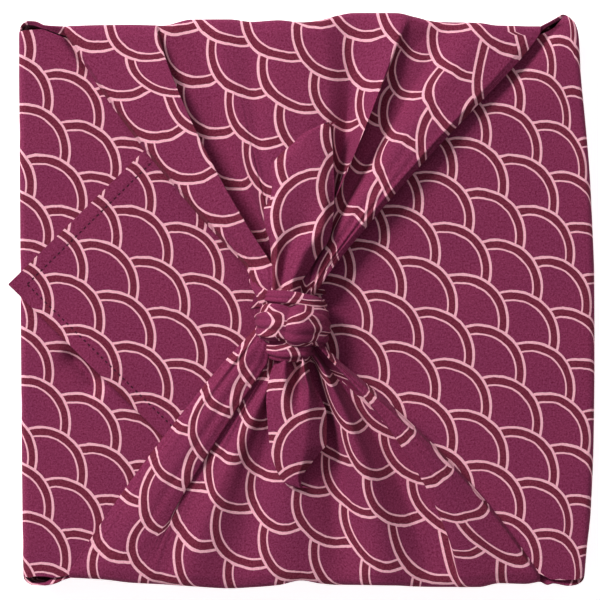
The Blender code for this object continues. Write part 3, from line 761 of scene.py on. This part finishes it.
TAIL_ROWS, TAIL_ACROSS = 64, 40
TAIL_HEM = 5


# %% Shape of a tail
def tail(sections, lean, start_v):
    """The places of a section run smoothly from one section to the next, and the surface runs
    smoothly through the five of them."""
    place = curves(sections, TAIL_COLUMNS, np.linspace(0, len(sections) - 1, TAIL_ROWS))
    folds = ("left", "ridge", "valley", "brow", "right")
    at, t = np.linspace(0, 1, len(folds)), np.linspace(0, 1, TAIL_ACROSS)
    x, z = (np.array([through(at, row, t) for row in together(*(place[axis + key] for key in folds))])
            for axis in ("x_", "z_"))
    points = together(x, place["y"][:, None], z)
    turn = math.radians(lean)
    away = np.abs(points[..., 1] - points[0, 0, 1])
    sign = 1 if sections[-1][0] > 0 else -1
    flat = together(x * math.cos(turn) - away * math.sin(turn),
                    sign * (start_v + x * math.sin(turn) + away * math.cos(turn)))
    for edge in ("left", "right"):
        points, flat = turn_under(points, flat, edge, TAIL_HEM, FOLD_RADIUS, (0, 0, -1))
    return points, flat


# Last come the print's turn and how far from the cloth's middle the tail starts.
for name, *shape in (("far tail", FAR_TAIL, -14, 372), ("near tail", NEAR_TAIL, 8, 378)):
    add_panel(name, *tail(*shape))

# %% [markdown]
# ## The knot
# In a square knot each strip makes a turn round the other, so gathered rolls show: a narrow one
# behind, the big one in front, a short one below it, where the near tail comes out, and a thin loop
# at the left. A curve with a bevel would make smooth tubes. Here a flattened round section is
# carried along a curved path, and its pleats are deepest where the roll is pinched at its ends.

# %% Turns of the knot
TURN_COLUMNS = ("x", "y", "z", "half_width", "half_height")
FRONT_TURN = (
    (-22.5, -9, 49, 5, 4), (-21, -9.5, 56, 8.5, 5), (-15, -9.4, 61.2, 9.8, 5.2),
    (-9.5, -10.6, 61, 9.4, 4.8), (-4, -11.4, 62.6, 11.4, 5.4), (4.5, -11.8, 58.6, 10.2, 5),
    (8.5, -13.5, 54.5, 8.5, 5), (9.5, -14, 48, 5, 4),
)
BACK_TURN = (
    (-20.5, 3, 49, 2.6, 2.6), (-18.5, 3.5, 56.5, 3.4, 3.6), (-9, 3, 60.5, 4.2, 4.2),
    (1, 1, 59.5, 4.2, 4.2), (8, -1.5, 53.5, 3.4, 3.6), (9, -2.5, 48, 2.6, 2.6),
)
LOW_TURN = (
    (-19, -22, 49, 3, 3), (-17, -23, 54, 5, 4), (-9, -24.5, 58, 6, 4.5), (-2, -24.5, 57, 6, 4.5),
    (2, -24, 50, 4, 3.5),
)
LEFT_LOOP = (
    (-27, 14, 47.5, 2.5, 2), (-24, 9, 53.5, 3.6, 2.6), (-21, 3, 56, 4, 2.8),
    (-20, -3, 54, 3.5, 2.4), (-20, -8, 49, 2.5, 2),
)
TURN_ROWS, TURN_AROUND = 46, 96
# How much more cloth than roll there is, round it and along it.
GATHERED, GATHERED_ALONG = 2.1, 1.25
# The pleats' depth in the middle as a share of that at the ends, and up as a share of sideways.
MIDDLE_DEPTH, DEPTH_UP = 0.4, 0.6
# How far the pleats and the broad sag turn round the roll on the way, in radians.
PLEAT_TWIST, SAG_TWIST = 2.2, 9
# Name, stations, number, depth and phase of the pleats, and the print's lean and start.
ROLLS = (
    ("front turn", FRONT_TURN, 10, 1.5, 0.6, 60, (20, 300)),
    ("back turn", BACK_TURN, 8, 1.3, 2, 80, (-30, 320)),
    ("low turn", LOW_TURN, 8, 1.3, 1, 75, (12, -330)),
    ("left loop", LEFT_LOOP, 6, 0.8, 0.3, 20, (0, 340)),
)


# %% Shape of a turn
def turn_of_knot(stations, pleats, depth, phase, lean, start):
    """Centre, half width and half height run smoothly through the stations. A ring round the
    centre is an ellipse square to the path. Its pleats are the arches of a cosine round the ring,
    shallower in the middle of the roll; two slower waves make them uneven."""
    s = np.linspace(0, len(stations) - 1, TURN_ROWS)
    place = curves(stations, TURN_COLUMNS, s)
    path = together(place["x"], place["y"], place["z"])
    ahead = unit(np.gradient(path, axis=0))
    mean = np.array([path[-1, 1] - path[0, 1], path[0, 0] - path[-1, 0], 0])
    side = np.broadcast_to(unit(-mean), path.shape)
    side = unit(side - ahead * np.sum(side * ahead, axis=1, keepdims=True))
    up = np.cross(ahead, side)
    a = np.linspace(0, 2 * math.pi, TURN_AROUND + 1)[None, :]
    share = (s / s[-1])[:, None]
    gather = depth * (MIDDLE_DEPTH + (1 - MIDDLE_DEPTH) * np.abs(2 * share - 1) ** 1.4)
    wave = 1.6 * np.abs(np.cos(0.5 * (pleats * a + phase + PLEAT_TWIST * share))) - 1
    wave = wave + 0.4 * np.sin((pleats // 2 + 1) * a - phase)
    wave = wave + 0.5 * np.sin(2 * a + SAG_TWIST * share)
    wide = place["half_width"][:, None] + gather * wave
    high = place["half_height"][:, None] + DEPTH_UP * gather * wave
    points = (path[:, None] + (wide * np.cos(a))[..., None] * side[:, None]
              + (high * np.sin(a))[..., None] * up[:, None])
    run = GATHERED_ALONG * lengths_along(path)
    girth = GATHERED * a * np.mean(place["half_width"]) + 0 * share
    turn = math.radians(lean)
    return points, together(start[0] + girth * math.cos(turn) - run[:, None] * math.sin(turn),
                            start[1] + girth * math.sin(turn) + run[:, None] * math.cos(turn))


for name, *roll in ROLLS:
    add_panel(name, *turn_of_knot(*roll))

# %% [markdown]
# ## One mesh
# The panels could stay objects of their own, but the real wrap is one cloth and is handled as one.
# So their grids stand behind one another in one mesh, and the flat coordinates go with them.

# %% Join the panels into one sheet
def join_panels(name):
    """One mesh of all panels: vertices and quads of each grid behind one another, and the flat
    coordinates as the UV map."""
    starts, vertices, quads, flats = 0, [], [], []
    for _, points, flat in panels:
        rows, across = points.shape[:2]
        at = starts + np.arange(rows * across).reshape(rows, across)
        quads.append(together(at[:-1, :-1], at[:-1, 1:], at[1:, 1:], at[1:, :-1]).reshape(-1, 4))
        vertices.append(points.reshape(-1, 3))
        flats.append(flat.reshape(-1, 2))
        starts += rows * across
    vertices, quads, flats = map(np.concatenate, (vertices, quads, flats))
    vertices = (vertices + (*PLAN_SHIFT, 0)) * MM
    mesh = bpy.data.meshes.new(name)
    mesh.from_pydata(vertices.tolist(), [], quads.tolist())
    uv = mesh.uv_layers.new(name="flat cloth")
    uv.data.foreach_set("uv", (flats * MM)[quads.ravel()].ravel())
    mesh.polygons.foreach_set("use_smooth", np.ones(len(quads), bool))
    mesh.update()
    print(f"{name}: {len(vertices)} vertices, {2 * len(quads)} triangles")
    return add_object(name, mesh)


wrap = join_panels("furoshiki_wrap")

# %% [markdown]
# ## Printed cotton
# The print is the old overlapping wave pattern: rows of fans, each row half a radius above the
# last and moved sideways by a radius, and a lower row lies over the one behind it. Each fan has a
# double outline in pale pink with a brown band between. A picture could hold the print, but a
# shader works it out from the flat cloth's coordinates and stays sharp from near by: it asks which
# of three rows covers a point first, and how far that point is from the fan's centre.

# %% Small helpers for shader nodes
def new_group(name, values, results):
    """A shader node group from a vector and named numbers to named numbers."""
    group = bpy.data.node_groups.new(name, "ShaderNodeTree")
    group.interface.new_socket("Vector", in_out="INPUT", socket_type="NodeSocketVector")
    for label, value in values.items():
        socket = group.interface.new_socket(label, in_out="INPUT", socket_type="NodeSocketFloat")
        socket.default_value = value
    for label in results:
        group.interface.new_socket(label, in_out="OUTPUT", socket_type="NodeSocketFloat")
    source = group.nodes.new("NodeGroupInput")
    sink = group.nodes.new("NodeGroupOutput")
    return group, source.outputs, sink.inputs


def set_inputs(node, values):
    """Set a node's named inputs."""
    for name, value in values.items():
        node.inputs[name].default_value = value


def feed(tree, socket, value):
    """Give a socket a number, a colour of three numbers or a link from another socket."""
    if isinstance(value, bpy.types.NodeSocket):
        tree.links.new(value, socket)
    else:
        socket.default_value = (*value, 1) if isinstance(value, tuple) else value


OPERATIONS = {"+": "ADD", "-": "SUBTRACT", "*": "MULTIPLY", "/": "DIVIDE", "<": "LESS_THAN",
              ">": "GREATER_THAN"}


def calculator(tree):
    """A function that adds a Math node to the tree and gives its output."""
    def calc(operation, *values):
        node = tree.nodes.new("ShaderNodeMath")
        node.operation = OPERATIONS.get(operation, operation)
        for socket, value in zip(node.inputs, values):
            feed(tree, socket, value)
        return node.outputs[0]
    return calc


def mix_colours(tree, share, one, other, blend="MIX"):
    """A Mix node for colours, with the share of the other one."""
    node = tree.nodes.new("ShaderNodeMix")
    node.data_type, node.blend_type = "RGBA", blend
    for at, value in ((0, share), (6, one), (7, other)):
        feed(tree, node.inputs[at], value)
    return node.outputs[2]


def noise(tree, vector, scale, detail=2):
    """Soft noise between 0 and 1, the scale in lumps per metre."""
    node = tree.nodes.new("ShaderNodeTexNoise")
    set_inputs(node, {"Scale": scale, "Detail": detail})
    tree.links.new(vector, node.inputs["Vector"])
    return node.outputs["Fac"]


# %% [markdown]
# ## Weave, fans and stitches
# Plain weave is one thread over and under the next, with slubs and flecks. The weave, the fans and
# the hem's line of short dark stitches all lie along the threads, which run along the cloth's own
# edges. Each could be modelled, at the price of millions of faces. A shader group that reads the
# flat coordinates costs none, and other materials can use it too.

# %% Shader group: cloth's threads
def thread_directions(tree, vector):
    """The two coordinates along the cloth's own edges, at 45 degrees to its diagonals u and v."""
    split = tree.nodes.new("ShaderNodeSeparateXYZ")
    tree.links.new(vector, split.inputs[0])
    calc = calculator(tree)
    root = math.sqrt(0.5)
    return (calc("*", calc("+", split.outputs[0], split.outputs[1]), root),
            calc("*", calc("-", split.outputs[1], split.outputs[0]), root))


THREAD = 0.00042
SLUBS, HEATHER = 1500, 950
OVER_UNDER, FLECKS, FLECK_CROSSING = 0.35, 1.3, 0.12


def plain_weave_group():
    """Height is over and under, the product of two waves, one along each set of threads, with
    noise for slubs. Shade is 0.5 with darker and lighter flecks from two noises, as in heather."""
    group, given, result = new_group("plain weave", {"Thread": THREAD}, ("Height", "Shade"))
    calc = calculator(group)
    waves = [calc("SINE", calc("/", calc("*", along, math.pi), given["Thread"]))
             for along in thread_directions(group, given["Vector"])]
    crossing = calc("*", *waves)
    slub = noise(group, given["Vector"], SLUBS)
    height = calc("+", calc("*", crossing, OVER_UNDER), slub)
    group.links.new(height, result["Height"])
    heather = noise(group, given["Vector"], HEATHER)
    fleck = calc("*", calc("-", calc("+", slub, heather), 1), FLECKS)
    fleck = calc("+", fleck, calc("*", crossing, FLECK_CROSSING))
    group.links.new(calc("+", fleck, 0.5), result["Shade"])
    return group


# %% Shader group: overlapping wave fans
FAN_RADIUS = 0.0255
LINE_OUTER, LINE_INNER, BAND = 0.00135, 0.00095, 0.0035
# How the print's edges waver and its lines swell: lumps per metre, and how much.
WAVER_LUMPS, WAVER, BRUSH_LUMPS, BRUSH_THIN, BRUSH_GAIN = 160, 0.07, 90, 0.75, 0.5


def wave_fans_group():
    """In units of half a radius: the row below a point is the whole number under its height. For
    that row, the one below and the one above, the fans' centres stand four units apart, every
    other row moved by two, and the lowest row whose fan is less than two units away covers it."""
    group, given, result = new_group("wave fans", {"Radius": FAN_RADIUS}, ("Line", "Band"))
    calc = calculator(group)
    one, other = thread_directions(group, given["Vector"])
    half = calc("*", given["Radius"], 0.5)
    waver = calc("*", calc("-", noise(group, given["Vector"], WAVER_LUMPS), 0.5), WAVER)
    across = calc("+", calc("/", one, half), waver)
    height = calc("+", calc("/", other, half), waver)
    below = calc("FLOOR", height)
    away = []
    for step in (-1, 0, 1):
        row = calc("+", below, step)
        moved = calc("*", calc("FRACT", calc("*", row, 0.5)), 4)
        side = calc("WRAP", calc("-", across, moved), 2, -2)
        rise = calc("-", height, row)
        square = calc("+", calc("*", side, side), calc("*", rise, rise))
        away.append(calc("SQRT", square))
    nearest = away.pop()
    while away:
        distance = away.pop()
        covers = calc("<", distance, 2)
        hidden = calc("-", 1, covers)
        nearest = calc("+", calc("*", covers, distance), calc("*", hidden, nearest))
    strokes = noise(group, given["Vector"], BRUSH_LUMPS, 1)
    brush = calc("+", BRUSH_THIN, calc("*", strokes, BRUSH_GAIN))
    outer = calc("*", brush, LINE_OUTER * 2 / FAN_RADIUS)
    inner = calc("*", brush, LINE_INNER * 2 / FAN_RADIUS)
    band_from = 2 - (LINE_OUTER + BAND) * 2 / FAN_RADIUS
    on_outer = calc(">", nearest, calc("-", 2, outer))
    past_inner = calc(">", nearest, calc("-", band_from, inner))
    before_band = calc("<", nearest, band_from)
    on_inner = calc("*", past_inner, before_band)
    group.links.new(calc("MAXIMUM", on_outer, on_inner), result["Line"])
    group.links.new(calc(">", nearest, band_from), result["Band"])
    return group


# %% Shader group: stitches along a hem
HEM_CORNER = hem_corner_u * MM
STITCH_PITCH, STITCH_WIDE, STITCH_IN = 0.0032, 0.0008, 0.5


def hem_stitches_group():
    """The cloth's edge is where the flat coordinates' sizes add up to the corner's. A stitch is
    where the way in from that edge is nearly the hem's width and the way along it is in the first
    half of a pitch."""
    group, given, result = new_group("hem stitches", {}, ("Stitch",))
    calc = calculator(group)
    parts = group.nodes.new("ShaderNodeSeparateXYZ")
    group.links.new(given["Vector"], parts.inputs[0])
    along_u = calc("ABSOLUTE", parts.outputs[0])
    along_v = calc("ABSOLUTE", calc("-", parts.outputs[1], FLAP_TIP[1] * MM))
    slope = calc("*", along_v, HEM_SLOPE)
    to_edge = calc("-", HEM_CORNER, calc("+", along_u, slope))
    off = calc("*", to_edge, math.cos(math.atan(HEM_SLOPE)))
    aside = calc("ABSOLUTE", calc("-", off, (HEM_WIDTH - STITCH_IN) * MM))
    in_line = calc("<", aside, STITCH_WIDE / 2)
    pace = calc("/", calc("-", along_v, along_u), STITCH_PITCH * math.sqrt(2))
    in_dash = calc("<", calc("FRACT", pace), 0.5)
    group.links.new(calc("*", in_line, in_dash), result["Stitch"])
    return group


# %% Plum cotton
THREAD_DARK = (0.055, 0.008, 0.022)
FIELD, FIELD_DEEP = (0.250, 0.031, 0.090), (0.205, 0.025, 0.086)
BAND_BROWN, LINE_PINK = (0.180, 0.021, 0.050), (0.95, 0.48, 0.58)
# How much the flecks change red, green and blue, and how much of that the pink lines cover.
FLECK, LINE_COVERS = (0.90, 1.90, 1.35), 0.75
FIELD_LUMPS = 25
SURFACE = {"Roughness": 0.85, "Specular IOR Level": 0.15, "Sheen Weight": 0.06,
           "Sheen Roughness": 0.45, "Sheen Tint": (1, 0.72, 0.80, 1)}


def plum_cotton():
    """Field, band, lines and stitches over one another, times the flecks of the weave."""
    material = bpy.data.materials.new("plum cotton")
    material.use_nodes = True
    tree = material.node_tree
    shader = tree.nodes["Principled BSDF"]
    flat_cloth = tree.nodes.new("ShaderNodeUVMap")
    flat_cloth.uv_map = "flat cloth"
    vector = flat_cloth.outputs[0]
    fans, weave, hem = (tree.nodes.new("ShaderNodeGroup") for _ in range(3))
    fans.node_tree, weave.node_tree = wave_fans_group(), plain_weave_group()
    hem.node_tree = hem_stitches_group()
    for node in (fans, weave, hem):
        tree.links.new(vector, node.inputs["Vector"])
    calc = calculator(tree)
    field = mix_colours(tree, noise(tree, vector, FIELD_LUMPS, 3), FIELD, FIELD_DEEP)
    colour = mix_colours(tree, fans.outputs["Band"], field, BAND_BROWN)
    colour = mix_colours(tree, fans.outputs["Line"], colour, LINE_PINK)
    colour = mix_colours(tree, hem.outputs["Stitch"], colour, THREAD_DARK)
    fleck = calc("-", weave.outputs["Shade"], 0.5)
    bare = calc("-", 1, calc("*", fans.outputs["Line"], LINE_COVERS))
    fleck = calc("*", fleck, bare)
    tone = tree.nodes.new("ShaderNodeCombineColor")
    for socket, share in zip(tone.inputs, FLECK):
        tree.links.new(calc("+", 1, calc("*", fleck, share)), socket)
    colour = mix_colours(tree, 1, colour, tone.outputs[0], "MULTIPLY")
    tree.links.new(colour, shader.inputs["Base Color"])
    set_inputs(shader, SURFACE)
    bump = tree.nodes.new("ShaderNodeBump")
    set_inputs(bump, {"Strength": 0.35, "Distance": 0.0002})
    tree.links.new(weave.outputs["Height"], bump.inputs["Height"])
    tree.links.new(bump.outputs[0], shader.inputs["Normal"])
    return material


# %% Finish the sheet
wrap.data.materials.append(plum_cotton())
print("plum cotton:", len(wrap.active_material.node_tree.nodes), "shader nodes")

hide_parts("wrap_cloth")
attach(wrap, "root")

# %% [markdown]
# ## Floor, light and camera
# Cloth shows its folds best in soft light from one side. The wrap is seen from straight above, in
# the light of a window at the top left; a weak wide lamp overhead keeps the shadows open, and the
# floor shines a little itself, which makes it white all over.

# %% Floor
FLOOR_HALF, FLOOR_Z = 3, -0.0003
FLOOR_SURFACE = {"Base Color": (0.9, 0.9, 0.9, 1), "Roughness": 0.9,
                 "Emission Color": (1, 1, 1, 1), "Emission Strength": 0.82}

floor_mesh = bpy.data.meshes.new("floor")
corners = [(x * FLOOR_HALF, y * FLOOR_HALF, FLOOR_Z) for x, y in ((-1, -1), (1, -1), (1, 1), (-1, 1))]
floor_mesh.from_pydata(corners, [], [(0, 1, 2, 3)])
floor = add_object("floor", floor_mesh)
pale = bpy.data.materials.new("pale floor")
pale.use_nodes = True
set_inputs(pale.node_tree.nodes["Principled BSDF"], FLOOR_SURFACE)
floor_mesh.materials.append(pale)

# %% Lamps and world
# Name, place, size, power and colour.
LIGHTS = (
    ("window", (-2.05, 1.95, 2.25), 1.1, 124, (1, 0.97, 0.95)),
    ("overhead", (-0.1, 0.3, 1.6), 3, 12, (1, 0.97, 0.98)),
)
for name, place, size, power, colour in LIGHTS:
    light = bpy.data.lights.new(name, "AREA")
    light.shape, light.size, light.energy, light.color = "SQUARE", size, power, colour
    lamp = add_object(name, light)
    lamp.location = place
    lamp.rotation_euler = (-Vector(place)).to_track_quat("-Z", "Y").to_euler()

world = bpy.data.worlds.new("studio")
world.use_nodes = True
set_inputs(world.node_tree.nodes["Background"], {"Color": (1, 0.95, 0.97, 1), "Strength": 0.08})
bpy.context.scene.world = world
bpy.context.scene.view_settings.view_transform = "Standard"

# %% Camera
FRAME_WIDTH_MM = 318
VIEW_CENTRE = (-2.65, 2.12)
CAMERA_HEIGHT = 3
lens = bpy.data.cameras.new("camera")
lens.sensor_width = 36
lens.lens = lens.sensor_width * (CAMERA_HEIGHT - TOP_Z * MM) / (FRAME_WIDTH_MM * MM)
lens.clip_end = 20
print("lens, mm", round(lens.lens, 1))
camera = add_object("camera", lens)
camera.location = ((VIEW_CENTRE[0] + PLAN_SHIFT[0]) * MM, (VIEW_CENTRE[1] + PLAN_SHIFT[1]) * MM,
                   CAMERA_HEIGHT)
bpy.context.scene.camera = camera
